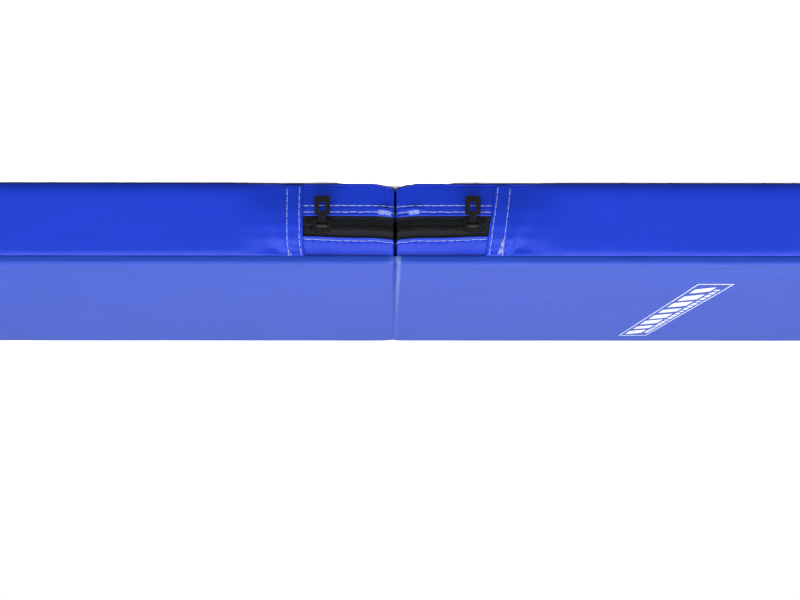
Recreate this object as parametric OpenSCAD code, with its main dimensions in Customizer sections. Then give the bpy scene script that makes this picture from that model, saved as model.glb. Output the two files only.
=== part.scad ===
// Folding gym mat. Two foam panels in coated-fabric covers are joined along the upper
// edge of their fold ends. Each cover opens by a zip that runs beside the fold on the
// front, along the whole fold end and beside the fold on the back.
// X runs along the mat, Y along the fold line, and Z up from the surface it lies on.
// The origin is on that surface, under the middle of the fold line.

/* [Panels] */
// Length of one panel, from the fold line to its outer end
panel_len = 600; // [450:50:900]
// Width of the mat, along the fold line
mat_width = 600; // [450:50:1200]
// Thickness of the mat
mat_thick = 50; // [48:1:60]
// Half of the gap between the two fold ends
half_gap = 1; // [0.8:0.1:1.5]

/* [Cover] */
// Thickness of the coated fabric
skin = 0.8; // [0.6:0.1:1]
// Depth of the seam round the face sheet, below the upper face
face_seam_drop = 5; // [5:0.5:8]
// Rounding of the upper edges
face_edge_r = 4.5; // [2:0.5:5]
// Rounding of the upper edge at the fold
fold_edge_r = 1.5; // [1:0.1:1.5]
// Rounding of the lower edges
base_edge_r = 2; // [1.5:0.5:4]
// Rounding of the upright edges at the outer end
corner_r = 8; // [3:1:20]
// Length over which the base lifts towards the fold
lift_len = 18; // [10:1:30]
// Height of that lift at the fold line
lift_rise = 4; // [2:0.5:5]
// Clearance between the foam and the fabric round it
core_fit = 0.05; // [0.02:0.01:0.1]

/* [Zip] */
// Distance from the fold line to where the side band covers the right panel's zip
tab_edge_right = 56.6; // [54:0.2:62]
// The same on the left panel, at the base
tab_edge_left = 61.4; // [56:0.2:62]
// How much nearer to the fold the left panel's tab edge is at its top
tab_slant_left = 6.3; // [0:0.1:6.4]
// Height of the zip's middle line
zip_z = 26.7; // [26:0.1:27]
// Width of zip that shows between the two facings
zip_opening = 12.6; // [12:0.2:14]
// Length of facing and tape from the fold line, with the part under the side band
insert_len = 74; // [72:1:90]
// Width of one zip tape
tape_width = 14.4; // [12:0.2:16]
// Thickness of the zip tape
tape_thick = 0.6; // [0.5:0.1:0.6]
// Gap between the two tapes, behind the coils
tape_gap = 1.6; // [1.4:0.1:1.8]
// Width of one row of coils
coil_width = 2.7; // [2.5:0.1:2.8]
// Height of the coils over the tape
coil_height = 1.4; // [1.2:0.1:1.4]

/* [Slider and pull] */
// Distance from the fold line to the right panel's slider
slider_at_right = 44.6; // [40:0.1:45]
// Distance from the fold line to the left panel's slider
slider_at_left = 47.3; // [40:0.1:48]
// Length of the slider along the zip
slider_len = 11; // [10:0.5:12]
// Width of the slider's broad end
slider_width = 8.6; // [8.4:0.1:10]
// Thickness of the slider's front and back plates
plate_thick = 1.2; // [1:0.1:1.3]
// Radius of the bar that the pull hangs on
bar_r = 0.65; // [0.5:0.05:0.7]
// Width of the pull
pull_width = 9.5; // [8:0.5:11]
// Length of the pull below its bar
pull_len = 18.2; // [16:0.1:20]
// Thickness of the pull
pull_thick = 1.2; // [1:0.1:1.4]
// Width of the window in the pull
window_width = 4.1; // [3:0.1:5]
// Length of the window in the pull
window_len = 5.6; // [4:0.1:6]

/* [Stitching] */
// Heights of the two rows on the lower facing and of the row on the upper facing
row_heights = [13.9, 17.9, 34.9];
// Width of the thread
thread_width = 0.8; // [0.6:0.1:1]
// How far the thread stands out of the fabric
thread_rise = 0.4; // [0.3:0.1:0.4]
// Distance from the tab's edge to its first row
tab_row_inset = 2.1; // [1.5:0.1:3]
// Distance between the tab's two rows
tab_row_gap = 7.3; // [5:0.1:8]

/* [Mark] */
// Distance from the fold line to the middle of the printed mark
mark_at = 212; // [150:1:400]
// Size of the mark's outline across and along the fold direction
mark_size = [24, 420];
// Thickness of the print
print_thick = 0.1; // [0.05:0.05:0.2]

/* [Hidden] */
$fn = 64;
LEFT = -1;
RIGHT = 1;
far = 4 * (panel_len + mat_width);
half_width = mat_width / 2;
seam_z = mat_thick - face_seam_drop;
opening_low = zip_z - zip_opening / 2;
opening_high = zip_z + zip_opening / 2;
// The base's lift is an arc that starts level and reaches lift_rise at the fold line.
lift_r = (lift_len * lift_len + lift_rise * lift_rise) / (2 * lift_rise);
// Depths below the panel's outer surface: on the front and back the facing lies
// under the side band, and at the fold end it is the outer layer itself.
facing_in = skin;
tape_in = facing_in + skin;
core_in = tape_in + tape_thick + core_fit;
// The slider, from the tape's front surface outwards
slider_clear = 0.3;
flange_thick = 0.8;
slider_tail = 0.88 * slider_width;
front_plate_out = coil_height + slider_clear;
bar_out = front_plate_out + plate_thick + 1.9;
eye_r = 1.7;
eye_len = 5.6;
bar_half_len = 3.4;
coil_gap = 0.2;
spread = 1.1;
spread_start = 1.4;
coil_end = 54;
stop_len = 1.6;

// ---- shared shapes -------------------------------------------------------------

// Mirrors a right-hand piece onto the left panel.
module on_side(side) {
    if (side == LEFT) mirror([1, 0, 0]) children();
    else children();
}

// What is outside a quarter circle, for rounding a corner whose arc centre is here.
module corner_cut(r) {
    difference() {
        square(2 * r);
        circle(r);
    }
}

// A rectangle whose corners are rounded: lower left, lower right, upper right, upper left.
module rounded_rect(low, high, radii) {
    ends = [[low.x, low.y], [high.x, low.y], [high.x, high.y], [low.x, high.y]];
    ways = [[1, 1], [-1, 1], [-1, -1], [1, -1]];
    difference() {
        translate(low) square(high - low);
        for (i = [0:3]) if (radii[i] > 0)
            translate(ends[i] + radii[i] * ways[i])
                mirror([ways[i].x > 0 ? 1 : 0, 0]) mirror([0, ways[i].y > 0 ? 1 : 0])
                    corner_cut(radii[i]);
    }
}

// Section of the right panel in X and Z. all_in, fold_in: depths below its surface.
module long_section(all_in, fold_in) {
    low = [half_gap + fold_in, all_in];
    high = [panel_len - all_in, mat_thick - all_in];
    difference() {
        rounded_rect(low, high, [0, base_edge_r - all_in, face_edge_r - all_in, fold_edge_r]);
        difference() {
            translate([-lift_len, -lift_r]) square([2 * lift_len, 2 * lift_r]);
            translate([lift_len, lift_r]) circle(lift_r - all_in, $fn = 256);
        }
    }
}

// Section of a panel in Y and Z.
module cross_section(all_in, side_in) {
    low = [-half_width + side_in, all_in];
    high = [half_width - side_in, mat_thick - all_in];
    base_r = base_edge_r - all_in;
    face_r = face_edge_r - all_in;
    rounded_rect(low, high, [base_r, base_r, face_r, face_r]);
}

// Outline of the right panel in X and Y.
module plan(all_in, side_in, fold_in) {
    low = [half_gap + fold_in, -half_width + side_in];
    high = [panel_len - all_in, half_width - side_in];
    rounded_rect(low, high, [0, corner_r - side_in, corner_r - side_in, 0]);
}

// The right panel as one solid, with its surfaces set in by the given depths.
module panel_solid(all_in, side_in, fold_in) {
    intersection() {
        rotate([90, 0, 0]) linear_extrude(2 * mat_width, center = true)
            long_section(all_in, fold_in);
        rotate([90, 0, 90]) linear_extrude(2 * panel_len)
            cross_section(all_in, side_in);
        translate([0, 0, -mat_thick]) linear_extrude(3 * mat_thick)
            plan(all_in, side_in, fold_in);
    }
}

// Everything between two heights.
module between(low, high) {
    translate([-far / 2, -far / 2, low]) cube([far, far, high - low]);
}

// Everything from the fold to a distance from it.
module near_fold(reach) {
    translate([-far, -far / 2, -far / 2]) cube([far + reach, far, far]);
}

// A strip of the layer between two depths, round the fold end from front to back.
module wrap(outer_in, thick, low, high, reach) {
    intersection() {
        difference() {
            plan_column(outer_in, low, high);
            plan_column(outer_in + thick, low - 1, high + 1);
        }
        near_fold(reach);
    }
}

// The column over the zip insert's outline, a depth below the side band's surface.
module plan_column(depth, low, high) {
    translate([0, 0, low]) linear_extrude(high - low) plan(0, depth, depth - facing_in);
}

// ---- foam and cover ------------------------------------------------------------

// Foam block, set back where the zip's layers and the slider's back plate lie.
module foam_core(side) {
    inner = skin + core_fit;
    groove = plate_thick + 2 * slider_clear;
    color("gainsboro") on_side(side) difference() {
        panel_solid(inner, inner, core_in - facing_in);
        for (y = [-1, 1])
            translate([0, y * (half_width - core_in / 2), mat_thick / 2])
                cube([2 * insert_len + 1, core_in, seam_z * 2], center = true);
        translate([0, -half_width + core_in - 1, zip_z - slider_width / 2 - 1])
            cube([insert_len - 8, groove + 1, slider_width + 2]);
    }
}

// Face sheet: the marked upper face, turned down all round to its seam.
module face_sheet(side) {
    color("cornflowerblue") on_side(side) difference() {
        panel_solid(0, 0, 0);
        panel_solid(skin, skin, skin);
        between(-1, seam_z + core_fit);
    }
}

// Base sheet: the underside, lifted towards the fold.
module base_sheet(side) {
    color("royalblue") on_side(side) difference() {
        panel_solid(0, 0, 0);
        translate([0, 0, skin]) panel_solid(0, -1, -1);
        between(mat_thick / 2, mat_thick + 1);
    }
}

// The tab edge and rows parallel to it: XZ strip from one distance to another.
module tab_strip(side, from, to, low, high) {
    edge = side == LEFT ? tab_edge_left : tab_edge_right;
    slope = side == LEFT ? tab_slant_left / seam_z : 0;
    rotate([90, 0, 0]) linear_extrude(far, center = true) polygon([
        [edge + from - slope * low, low], [edge + to - slope * low, low],
        [edge + to - slope * high, high], [edge + from - slope * high, high]
    ]);
}

// Side band: one strip round the outer end, whose tabs lap over the zip insert.
module side_band(side) {
    color("mediumblue") on_side(side) intersection() {
        difference() {
            panel_solid(0, 0, 0);
            panel_solid(skin, skin, skin);
        }
        translate([0, 0, skin + core_fit]) panel_solid(0, -1, -1);
        between(-1, seam_z);
        tab_strip(side, 0, panel_len, -1, mat_thick);
    }
}

// ---- zip insert ----------------------------------------------------------------

// Lower facing, from the base sheet up to the hem beside the zip.
module lower_facing(side) {
    color("mediumblue") on_side(side) intersection() {
        wrap(facing_in, skin, 0, opening_low, insert_len);
        panel_solid(skin + core_fit, skin, -1);
    }
}

// Upper facing, from the hem beside the zip up to the face sheet's seam.
module upper_facing(side) {
    color("royalblue") on_side(side)
        wrap(facing_in, skin, opening_high, seam_z, insert_len);
}

// Zip tapes, behind the facings.
module lower_tape(side) {
    top = zip_z - tape_gap / 2;
    color("#26292b") on_side(side)
        wrap(tape_in, tape_thick, top - tape_width, top, insert_len - 3);
}

module upper_tape(side) {
    base = zip_z + tape_gap / 2;
    color("#26292b") on_side(side)
        wrap(tape_in, tape_thick, base, base + tape_width, insert_len - 3);
}

// One row of coils on its tape. It is closed as far as the slider and spread past it.
module coil_row(side, way) {
    low = way > 0 ? zip_z + coil_gap / 2 : zip_z - coil_gap / 2 - coil_width;
    closed_to = slider_at(side) + spread_start;
    color("#1b1d1f") on_side(side) {
        difference() {
            wrap(tape_in - coil_height, coil_height, low, low + coil_width, coil_end);
            translate([closed_to, -half_width - 1, 0]) cube([far, half_width, mat_thick]);
        }
        translate([closed_to + 0.1, -half_width + tape_in - coil_height, low + way * spread])
            cube([coil_end - closed_to - 0.1, coil_height, coil_width]);
    }
}

module lower_coil(side) coil_row(side, -1);
module upper_coil(side) coil_row(side, 1);

// Stops: one on the end of each spread row in front, and one across both rows behind.
module coil_stops(side) {
    front_y = -half_width + tape_in - coil_height;
    low = zip_z + coil_gap / 2 + spread;
    color("#1b1d1f") on_side(side) {
        for (z = [low, 2 * zip_z - low - coil_width])
            translate([coil_end, front_y, z]) cube([stop_len, coil_height, coil_width]);
        translate([coil_end, -front_y - coil_height, zip_z - coil_width])
            cube([stop_len, coil_height, 2 * coil_width]);
    }
}

// ---- slider and pull -----------------------------------------------------------

function slider_at(side) = side == LEFT ? slider_at_left : slider_at_right;

// Moves a piece drawn round the zip's middle line, outwards along -Y, to the slider.
module at_slider(side) {
    on_side(side) translate([slider_at(side), -half_width + tape_in, zip_z]) children();
}

// Outline of the slider's plates: broad where the rows spread, narrower behind.
module plate_outline() {
    r = 1.2;
    hull() for (z = [-1, 1]) {
        translate([slider_len / 2 - r, z * (slider_width / 2 - r)]) circle(r, $fn = 32);
        translate([-slider_len / 2 + r, z * (slider_tail / 2 - r)]) circle(r, $fn = 32);
    }
}

// A slab of the outline between two distances in front of the tape.
module plate(from, to) {
    translate([0, -from, 0]) rotate([90, 0, 0]) linear_extrude(to - from) children();
}

// Slider: front and back plates, flanges beside the coils, wedge post and pull bar.
module zip_slider(side) {
    front_out = front_plate_out + plate_thick;
    back_in = tape_thick + slider_clear;
    post_len = 2.6;
    post_width = 1.1;
    flange_x = [-slider_len / 2 + 1.5, spread_start - 0.3];
    color("#202224") at_slider(side) {
        plate(front_plate_out, front_out) plate_outline();
        plate(-back_in - plate_thick, -back_in) plate_outline();
        for (z = [-1, 1])
            plate(slider_clear, front_plate_out + 0.1)
                translate([flange_x[0], z * (slider_tail - flange_thick) / 2 - flange_thick / 2])
                    square([flange_x[1] - flange_x[0], flange_thick]);
        plate(-back_in - 0.1, front_plate_out + 0.1)
            translate([slider_len / 2 - post_len - 0.4, -post_width / 2])
                square([post_len, post_width]);
        for (x = [-1, 1])
            plate(front_out - 0.1, bar_out + bar_r)
                translate([x * (bar_half_len + 0.5), 0]) square([1, 1.6], center = true);
        translate([0, -bar_out, 0]) rotate([0, 90, 0])
            cylinder(r = bar_r, h = 2 * bar_half_len + 0.2, center = true);
    }
}

// Pull: a flat tab with a window, hanging from an eye round the slider's bar.
module zip_pull(side) {
    corner = 1.6;
    shoulder = 6.5;
    neck = eye_len - 0.8;
    window_top = 8.6;
    color("#202224") at_slider(side) translate([0, -bar_out, 0]) difference() {
        union() {
            rotate([0, 90, 0]) cylinder(r = eye_r, h = eye_len, center = true);
            rotate([90, 0, 0]) linear_extrude(pull_thick, center = true) {
                translate([-neck / 2, -shoulder - 2]) square([neck, shoulder + 2]);
                rounded_rect([-pull_width / 2, -pull_len], [pull_width / 2, -shoulder],
                             [corner, corner, corner, corner]);
            }
        }
        rotate([0, 90, 0]) cylinder(r = bar_r + 0.07, h = 2 * eye_len, center = true);
        translate([-window_width / 2, -pull_thick, -window_top - window_len])
            cube([window_width, 2 * pull_thick, window_len]);
    }
}

// ---- thread, fold web and mark -------------------------------------------------

// Rows of thread along the two facings.
module facing_thread(side) {
    reach = (side == LEFT ? tab_edge_left - tab_slant_left : tab_edge_right) - 1;
    color("white") on_side(side) for (z = row_heights)
        wrap(facing_in - thread_rise, thread_rise, z - thread_width / 2,
             z + thread_width / 2, reach);
}

// Two rows of thread across each tab of the side band, front and back.
module tab_thread(side) {
    color("white") on_side(side) for (row = [0, 1], y = [-1, 1]) intersection() {
        tab_strip(side, tab_row_inset + row * tab_row_gap - thread_width / 2,
                  tab_row_inset + row * tab_row_gap + thread_width / 2, 3, seam_z - 1);
        translate([0, y * (half_width + thread_rise / 2), 0])
            cube([far, thread_rise, far], center = true);
    }
}

// Strip of cover fabric that bridges the fold just under the upper faces.
module fold_web() {
    top = mat_thick - fold_edge_r - 0.1;
    color("royalblue") translate([-half_gap, -half_width + 2, top - skin])
        cube([2 * half_gap, mat_width - 4, skin]);
}

// Printed mark: an outline, slanted blocks inside it and a row of short bars beside it.
module printed_mark() {
    line = [1, 3];
    block_count = 7;
    block_pitch = (mark_size.y - 30) / block_count;
    block = [13, 0.62 * block_pitch];
    slant = 10;
    bar_count = 16;
    bar_pitch = mark_size.y / 24;
    color("white") translate([-mark_at, 0, mat_thick]) linear_extrude(print_thick) {
        difference() {
            square(mark_size, center = true);
            square(mark_size - 2 * line, center = true);
        }
        for (i = [0:block_count - 1])
            translate([2, (i - (block_count - 1) / 2) * block_pitch]) polygon([
                [-block.x / 2, -block.y / 2 - slant], [block.x / 2, -block.y / 2 + slant],
                [block.x / 2, block.y / 2 + slant], [-block.x / 2, block.y / 2 - slant]
            ]);
        for (i = [0:bar_count - 1])
            translate([-8.2, (i - (bar_count - 1) / 2) * bar_pitch])
                square([2.4, 0.5 * bar_pitch], center = true);
    }
}

foam_core(LEFT);  // foam_core_left
foam_core(RIGHT);  // foam_core_right
face_sheet(LEFT);  // face_sheet_left
face_sheet(RIGHT);  // face_sheet_right
base_sheet(LEFT);  // base_sheet_left
base_sheet(RIGHT);  // base_sheet_right
side_band(LEFT);  // side_band_left
side_band(RIGHT);  // side_band_right
lower_facing(LEFT);  // lower_facing_left
lower_facing(RIGHT);  // lower_facing_right
upper_facing(LEFT);  // upper_facing_left
upper_facing(RIGHT);  // upper_facing_right
lower_tape(LEFT);  // lower_tape_left
lower_tape(RIGHT);  // lower_tape_right
upper_tape(LEFT);  // upper_tape_left
upper_tape(RIGHT);  // upper_tape_right
lower_coil(LEFT);  // lower_coil_left
lower_coil(RIGHT);  // lower_coil_right
upper_coil(LEFT);  // upper_coil_left
upper_coil(RIGHT);  // upper_coil_right
coil_stops(LEFT);  // coil_stops_left
coil_stops(RIGHT);  // coil_stops_right
zip_slider(LEFT);  // zip_slider_left
zip_slider(RIGHT);  // zip_slider_right
zip_pull(LEFT);  // zip_pull_left
zip_pull(RIGHT);  // zip_pull_right
facing_thread(LEFT);  // facing_thread_left
facing_thread(RIGHT);  // facing_thread_right
tab_thread(LEFT);  // tab_thread_left
tab_thread(RIGHT);  // tab_thread_right
fold_web();
printed_mark();
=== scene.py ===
"""Folding gym mat: vinyl covers, zips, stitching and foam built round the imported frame."""
import math

import bmesh
import bpy
import numpy as np
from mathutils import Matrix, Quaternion, Vector
from mathutils.bvhtree import BVHTree


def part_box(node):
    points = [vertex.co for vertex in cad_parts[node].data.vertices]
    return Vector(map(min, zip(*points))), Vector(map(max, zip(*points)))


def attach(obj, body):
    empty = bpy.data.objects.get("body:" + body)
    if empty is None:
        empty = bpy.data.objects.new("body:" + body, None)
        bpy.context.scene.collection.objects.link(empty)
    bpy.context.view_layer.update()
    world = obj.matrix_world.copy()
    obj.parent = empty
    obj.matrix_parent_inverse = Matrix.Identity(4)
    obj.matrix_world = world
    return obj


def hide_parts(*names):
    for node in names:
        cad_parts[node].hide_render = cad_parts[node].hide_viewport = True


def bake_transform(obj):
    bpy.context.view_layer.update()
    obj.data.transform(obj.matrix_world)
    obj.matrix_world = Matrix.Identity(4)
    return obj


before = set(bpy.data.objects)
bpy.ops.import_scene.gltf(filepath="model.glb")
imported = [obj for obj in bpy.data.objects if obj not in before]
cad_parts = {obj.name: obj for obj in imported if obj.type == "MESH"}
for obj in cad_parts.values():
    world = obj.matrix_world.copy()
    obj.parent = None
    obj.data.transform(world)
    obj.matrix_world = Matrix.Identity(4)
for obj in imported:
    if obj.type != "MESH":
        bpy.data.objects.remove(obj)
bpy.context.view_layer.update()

MM = 0.001
SIDES = {"left": -1, "right": 1}


# ---- sizes, in millimetres, from the frame ----

def box_mm(node):
    """Lowest and highest corner of a CAD node, in millimetres."""
    low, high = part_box(node)
    return np.array(low) / MM, np.array(high) / MM


FACE_LOW, FACE_HIGH = box_mm("face_sheet_right")
HALF_GAP = FACE_LOW[0]
PANEL, HALF_W, THICK = FACE_HIGH
SEAM_Z = FACE_LOW[2]
INSERT_END, FACING_Y, OPEN_LOW = box_mm("lower_facing_right")[1]
OPEN_HIGH = box_mm("upper_facing_right")[0][2]
ZIP_Z = (OPEN_LOW + OPEN_HIGH) / 2
TAPE_LOW = box_mm("lower_tape_right")[0][2]
TAPE_HIGH = box_mm("upper_tape_right")[1][2]
COIL_REACH = box_mm("coil_stops_right")[0][0]
SLIDER_AT = {s: abs(sum(c[0] for c in box_mm(f"zip_slider_{s}"))) / 2 for s in SIDES}

# The cover cloth: its thickness, the rounding of its cut edges, and the panel's corners.
SKIN = HALF_W - FACING_Y
EDGE_R = 0.25
CORNER_R = 8.0
FOLD_CORNER_R = 0.7
# The face sheet: its level, and the crease's notch in its roll.
FACE_TOP = THICK + 0.6
CREASE_NOTCH = 0.8
# The fold end: how far the foam presses it out, and how far from the front that starts.
FOLD_PRESS = 0.8
FOLD_PRESS_IN = 3.5
# The base: how far it is lifted at the fold and over what length, how far its rim stands
# past the sides' feet, and over which insets it eases back to its flat shape.
LIFT_LEN = 18.0
LIFT_RISE = 4.0
FOOT_Z = 0.6
BASE_RIM = 0.65
BASE_FOLD_RIM = 0.4
BASE_EASE = (2.4, 8.0)
# The zip insert: how far its foot is drawn back from, the arch of its upper hem, how many
# times SKIN a facing's hem is thick at distances from its edge, its lap over the seam, its
# tapes, and its coils, which are parted by SPREAD past the slider.
INSERT_CREST = 0.85
HEM_ARCH = 0.9
HEM_FROM = (0, 1.2, 8, 9.5)
HEM_THICK = (0.5, 1.4, 1.4, 1)
SEAM_LAP = 0.3
TAPE_IN = 2 * SKIN + 0.02
TAPE_THICK = 0.6
TAPE_MEET = 0.15
COIL_PITCH = 1.4
COIL_HIGH = 1.4
COIL_WIDE = 2.7
COIL_WIRE = 0.66
COIL_LAP = 0.45
CORD_R = 0.2
CORD_ASIDE = (1.25, 2.15)
SPREAD = 1.1
# The foam: its distances from the cover along X, Y and Z, its corners, and its grid.
FOAM_LOW_IN = (4.5, 6.5, 1.2)
FOAM_HIGH_IN = (1.6, 6.5, 2.4)
FOAM_RADII = (5.0, 5.0, 1.5, 1.5)
FOAM_CELL = 24
# The facings' rows of stitches, and one stitch.
ROWS = (13.9, 17.9, 34.9)
STITCH = 4.75
STITCH_LEN = 4.55
THREAD_R = 0.3
# The printed mark: half its thickness, and the width of its outline along X and Y.
PRINT_THICK = 0.12
PRINT_LINE = (0.8, 2.6)
# The side bands' tab edges: where each meets the base, and how far it has moved towards
# the fold at the heights in TAB_HEIGHTS.
TAB_EDGE = {"left": 61.4, "right": 56.6}
TAB_HEIGHTS = (0, 15, 30, 38, 45, 50)
TAB_SHIFT = {"left": (0, 2.1, 4.2, 5.3, 6.3, 7.0), "right": (0, 0, 0.1, 0.4, 1.5, 2.3)}
TAB_ROWS = (2.2, 9.6)
TAB_LIP = 0.8
TAB_SHIFT_EASE = 45
# Extra stitches sewn back over the end of a tab's row: the distance past the tab's edge
# and the height where each starts and ends.
BACKTACK = {"left": [((9.2, 34.2), (6.9, 44.7)), ((9.3, 34.6), (7.5, 44.5)),
                     ((9.4, 35.0), (8.1, 44.3)), ((9.5, 35.6), (8.7, 44.0)),
                     ((9.6, 36.2), (9.2, 43.6))],
            "right": [((9.8, 41.0), (8.0, 45.0))]}
# Where the middle row of stitches is sewn over again: distances from the fold.
SEWN_TWICE = {"left": (8.2, 14.8), "right": (2.4, 10.6)}
# Puckers by the fold, where stitching gathers the lower facing: the distance from the
# fold, the height, the length along the zip and up, and how far each stands out.
PUCKERS = {"left": [(11.3, 15.9, 4.4, 2.2, 1.7), (9.0, 19.6, 6.0, 1.0, 0.3),
                    (10.8, 8.5, 1.0, 5.0, 0.6)],
           "right": [(6.0, 15.9, 5.4, 2.2, 1.9), (6.0, 19.6, 6.0, 1.0, 0.45),
                     (7.3, 11.0, 1.0, 9.0, 0.7)]}


# ---- shape rules ----

def smooth(t):
    """0 below 0, 1 above 1, and an even curve between."""
    t = np.clip(t, 0, 1)
    return t * t * (3 - 2 * t)


def bell(distance, width):
    """A bump of height 1 that falls off over a width on both sides."""
    return np.exp(-((distance / width) ** 2))


def rounded_curve(knots, values, width):
    """A function through the knots, with its corners rounded over about the given width."""
    grid = np.linspace(knots[0] - 4 * width, knots[-1] + 4 * width, 900)
    table = np.interp(grid, knots, values)
    step = grid[1] - grid[0]
    reach = int(3 * width / step)
    weights = np.exp(-0.5 * (np.arange(-reach, reach + 1) * step / width) ** 2)
    weights /= weights.sum()
    table = np.convolve(np.pad(table, reach, mode="edge"), weights, mode="valid")
    return lambda x: np.interp(x, grid, table)


# How far the zip insert stands out of its own plane, and the side band out of its.
insert_belly = rounded_curve(
    (0.4, 1.5, 4, 8, 14, 21.5, 26.5, 33, 38, 42, 44, 46),
    (-3.1, -2.6, -2.1, -1.3, -0.1, 1.0, 1.7, 1.25, 0.45, -0.12, -0.18, -0.3), 0.5)
band_belly = rounded_curve(
    (0.4, 1.4, 3, 5, 8, 30, 40, 42.4, 43.8, 45),
    (-1.9, -1.2, -0.55, -0.1, 0.08, 0.25, 0.36, 0.34, 0.17, -0.15), 0.25)
warp_share = rounded_curve((0, 6, 14, 27, 36, 45), (1, 0.55, 0.24, 0.3, 0.36, 0), 1.5)


def insert_stand(x, z):
    """How far the zip insert stands out, at a distance from the fold and a height. Its
    foot is tucked in, more so away from the fold."""
    belly = insert_belly(z)
    tuck = 0.5 * smooth((x - 8) / 35) - 0.25
    return belly + (1 - smooth((z - 20) / 10)) * tuck * (belly - INSERT_CREST)


def lift(x):
    """How far the base is lifted at a distance from the fold."""
    return LIFT_RISE * np.clip(1 - np.abs(x) / LIFT_LEN, 0, 1) ** 2


def warp(x, z):
    """A height on the zip insert once the lift at the fold has pulled it up and the upper
    hem is arched between the tabs."""
    arch = HEM_ARCH * smooth((55 - x) / 30) * smooth((z - 27) / 4) * smooth((44 - z) / 8)
    return z + lift(x) * warp_share(z) + arch


def waves(x, y, seed, pitch):
    """A smooth, even ripple from -1 to 1 made of a few crossing waves, the same each run."""
    turns = np.random.default_rng(seed).uniform(0, 2 * math.pi, (6, 2))
    total = 0
    for k, (angle, phase) in enumerate(turns):
        size = pitch * (1 + 0.35 * k)
        total = total + np.sin((x * math.cos(angle) + y * math.sin(angle))
                               * 2 * math.pi / size + phase)
    return total / len(turns)


# ---- mesh helpers ----

def make_mesh(name, points, faces, merge=0.0):
    """An object from points in millimetres; merge joins points closer than that."""
    mesh = bpy.data.meshes.new(name)
    mesh.from_pydata((np.asarray(points, float) * MM).tolist(), [], faces)
    work = bmesh.new()
    work.from_mesh(mesh)
    if merge:
        bmesh.ops.remove_doubles(work, verts=work.verts, dist=merge * MM)
    bmesh.ops.recalc_face_normals(work, faces=work.faces)
    work.to_mesh(mesh)
    work.free()
    mesh.shade_smooth()
    piece = bpy.data.objects.new(name, mesh)
    bpy.context.scene.collection.objects.link(piece)
    return piece


def finished(piece, material, slot, body, *nodes):
    """Gives a piece its material, the body it rides on and what it replaces. slot is not used.
    """
    piece.data.materials.clear()
    piece.data.materials.append(material)
    if body:
        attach(piece, body)
    if nodes:
        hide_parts(*nodes)


def apply_modifiers(piece):
    """Replaces the piece's mesh with what its modifiers make of it."""
    graph = bpy.context.evaluated_depsgraph_get()
    mesh = bpy.data.meshes.new_from_object(piece.evaluated_get(graph))
    piece.modifiers.clear()
    piece.data = mesh


def thicken(piece):
    """Makes a single surface into a closed skin of cover cloth, inwards."""
    skin = piece.modifiers.new("skin", "SOLIDIFY")
    skin.thickness = SKIN * MM
    skin.offset = -1
    skin.use_even_offset = False
    apply_modifiers(piece)


def ring_faces(rows, count, first=0):
    """Quads between successive closed rows of count points each."""
    pairs = [(first + i * count + j, first + i * count + (j + 1) % count)
             for i in range(rows - 1) for j in range(count)]
    return [(a, b, b + count, a + count) for a, b in pairs]


def grid_faces(rows, count, first=0):
    """Quads between successive open rows of count points each."""
    corners = [first + i * count + j for i in range(rows - 1) for j in range(count - 1)]
    return [(a, a + count, a + count + 1, a + 1) for a in corners]


def steps(start, end, near, far, grow=1.25):
    """Numbers from start to end whose spacing grows from near to far."""
    out, gap = [start], near
    way = 1 if end > start else -1
    while abs(end - out[-1]) > 1.5 * gap:
        out.append(out[-1] + way * gap)
        gap = min(gap * grow, far)
    out.append(end)
    return out


# ---- paths in plan ----

class Path:
    """A line in plan, with the outward direction and the run length at each point."""

    def __init__(self, points, outward):
        self.points = np.array(points, float)
        self.outward = np.array(outward, float)
        gaps = np.linalg.norm(np.diff(self.points, axis=0), axis=1)
        self.run = np.concatenate([[0], np.cumsum(gaps)])

    def at(self, run):
        """Points and outward directions at these run lengths."""
        point, out = (np.stack([np.interp(run, self.run, v[:, k]) for k in (0, 1)], 1)
                      for v in (self.points, self.outward))
        return point, out / np.linalg.norm(out, axis=1, keepdims=True)


def arc(centre, radius, start, end, count):
    """Points and outward directions round an arc, angles in degrees, ends left out."""
    angles = np.radians(np.linspace(start, end, count + 2)[1:-1])
    out = np.stack([np.cos(angles), np.sin(angles)], 1)
    return [tuple(p) for p in np.array(centre) + radius * out], [tuple(o) for o in out]


def straight(values, fixed, way):
    """A straight stretch, fixed on the axis along which way, its outward direction, points."""
    return [(v, fixed) if way[1] else (fixed, v) for v in values], [way] * len(values)


def both_ways(values):
    """The same numbers below and above zero, in order."""
    return sorted({-v for v in values} | set(values))


def joined(*stretches):
    """One path from stretches in order."""
    points, outward = zip(*stretches)
    return Path(np.concatenate(points), np.concatenate(outward))


def insert_path(reach, fine=0.75):
    """The right panel's zip insert: in along the front, over the fold end, out behind."""
    x, y, r = HALF_GAP, FACING_Y, FOLD_CORNER_R
    return joined(straight(steps(reach, x + r, fine, fine), -y, (0, -1)),
                  arc((x + r, -y + r), r, -90, -180, 5),
                  straight(both_ways(steps(0, y - r, 9, 9)), x, (-1, 0)),
                  arc((x + r, y - r), r, 180, 90, 5),
                  straight(steps(x + r, reach, 1.2, 1.6), y, (0, 1)))


def band_path(edge):
    """The right panel's side band: out along the front, round the outer end, back."""
    r = CORNER_R
    front = steps(edge, PANEL - r, 0.8, 8, 1.03)
    front[1:1] = [edge + 0.15, edge + 0.35, edge + 0.55]
    return joined(straight(front, -HALF_W, (0, -1)),
                  arc((PANEL - r, -HALF_W + r), r, -90, 0, 9),
                  straight(both_ways(steps(0, HALF_W - r, 10, 10)), PANEL, (1, 0)),
                  arc((PANEL - r, HALF_W - r), r, 0, 90, 9),
                  straight(front[::-1], HALF_W, (0, 1)))


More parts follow.
